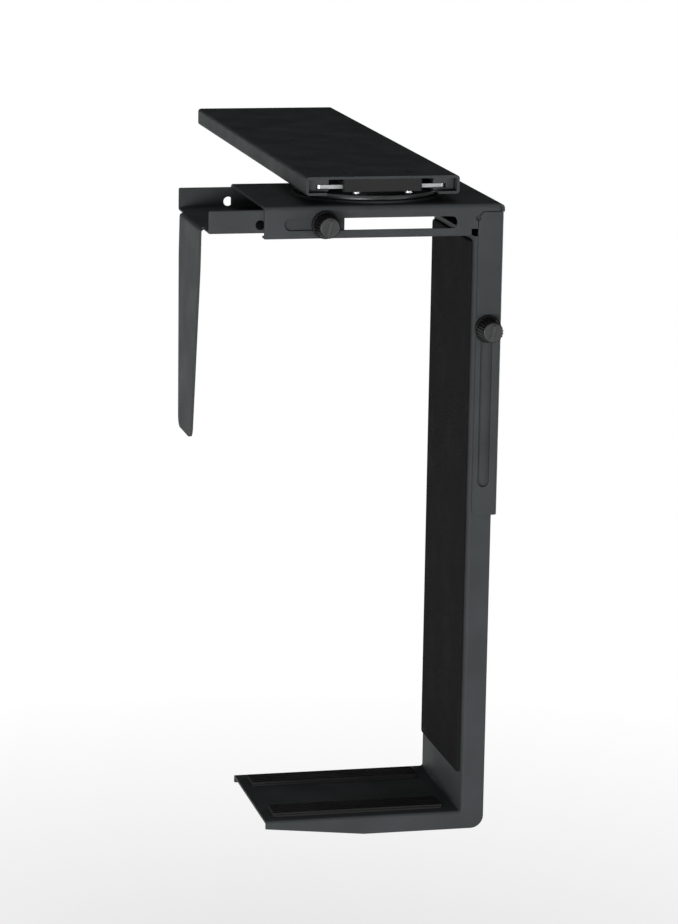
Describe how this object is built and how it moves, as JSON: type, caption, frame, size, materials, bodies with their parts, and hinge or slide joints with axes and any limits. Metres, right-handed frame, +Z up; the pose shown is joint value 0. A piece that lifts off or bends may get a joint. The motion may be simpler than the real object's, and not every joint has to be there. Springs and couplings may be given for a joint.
{
  "type": "under-desk computer tower holder",
  "caption": "Sliding, swivelling under-desk holder that hangs a computer tower between a post with a tray and a side wing, adjustable in width and height.",
  "frame": {"origin": "on the track's face that meets the desk, on the swivel axis with the trolley at the front stop", "axes": "+Z up towards the desk, +X along the front bar towards the post, +Y back under the desk along the track"},
  "size_m": [0.2319, 0.4614, 0.5118],
  "materials": {
    "black_powder_coat": "fine-grained satin powder coat",
    "zinc_plated_steel": "bright zinc plating",
    "black_oxide_steel": "black-oxide steel",
    "black_nylon": "matt moulded nylon",
    "black_rubber": "matt rubber",
    "black_foam": "closed-cell foam",
    "knob_plastic": "fine-textured moulded plastic",
    "cap_plastic": "satin moulded plastic",
    "insert_brass": "machined brass"
  },
  "bodies": {
    "track": {"track": "black_powder_coat", "end_stops": "black_rubber", "stop_screws": "zinc_plated_steel"},
    "trolley": {"trolley_plate": "zinc_plated_steel", "trolley_glides": "black_nylon", "glide_rivets": "zinc_plated_steel", "pivot_spacer": "zinc_plated_steel", "upper_disc": "black_powder_coat", "disc_rivets": "zinc_plated_steel", "pivot_bolt": "zinc_plated_steel", "pivot_washer": "zinc_plated_steel", "pivot_nut": "zinc_plated_steel"},
    "frame": {"upper_frame": "black_powder_coat", "lower_disc": "black_powder_coat", "bearing_disc": "black_nylon", "arm_runners": "black_nylon"},
    "arm": {"width_arm": "black_powder_coat", "wing_pad": "black_foam", "width_stud": "zinc_plated_steel", "arm_guide_bolt": "zinc_plated_steel", "arm_guide_bush": "black_nylon", "arm_guide_washer": "zinc_plated_steel", "arm_guide_nut": "zinc_plated_steel"},
    "width_clamp": {"width_washer": "black_oxide_steel"},
    "width_knob": {"width_knob": "knob_plastic", "width_knob_insert": "insert_brass", "width_knob_cap": "cap_plastic"},
    "bracket": {"lower_bracket": "black_powder_coat", "column_pad": "black_foam", "tray_strips": "black_rubber", "column_shoes": "black_nylon", "height_stud": "zinc_plated_steel", "column_guide_bolt": "zinc_plated_steel", "column_guide_bush": "black_nylon", "column_guide_washer": "zinc_plated_steel", "column_guide_nut": "zinc_plated_steel"},
    "height_clamp": {"height_washer": "black_oxide_steel"},
    "height_knob": {"height_knob": "knob_plastic", "height_knob_insert": "insert_brass", "height_knob_cap": "cap_plastic"}
  },
  "joints": [
    {"name": "track_slide", "type": "slide", "parent": "track", "child": "trolley", "axis": [0, 1, 0], "range_m": [0, 0.32]},
    {"name": "swivel", "type": "hinge", "parent": "trolley", "child": "frame", "pos_m": [0, 0, -0.0208], "axis": [0, 0, 1], "continuous": true},
    {"name": "width_slide", "type": "slide", "parent": "frame", "child": "arm", "axis": [1, 0, 0], "range_m": [-0.026, 0.0975]},
    {"name": "width_knob_feed", "type": "slide", "parent": "arm", "child": "width_clamp", "axis": [0, -1, 0], "range_m": [0, 0.00191]},
    {"name": "width_knob_turn", "type": "hinge", "parent": "width_clamp", "child": "width_knob", "pos_m": [-0.0465, -0.075, -0.03425], "axis": [0, -1, 0], "range_deg": [0, 540]},
    {"name": "height_slide", "type": "slide", "parent": "frame", "child": "bracket", "axis": [0, 0, 1], "range_m": [-0.118, 0.0052]},
    {"name": "height_knob_feed", "type": "slide", "parent": "bracket", "child": "height_clamp", "axis": [0, -1, 0], "range_m": [0, 0.00191]},
    {"name": "height_knob_turn", "type": "hinge", "parent": "height_clamp", "child": "height_knob", "pos_m": [0.0805, -0.075, -0.11585], "axis": [0, -1, 0], "range_deg": [0, 540]}
  ],
  "couplings": [
    {"joint": "width_knob_feed", "follows": "width_knob_turn", "m_per_rad": 0.00019894},
    {"joint": "height_knob_feed", "follows": "height_knob_turn", "m_per_rad": 0.00019894}
  ]
}
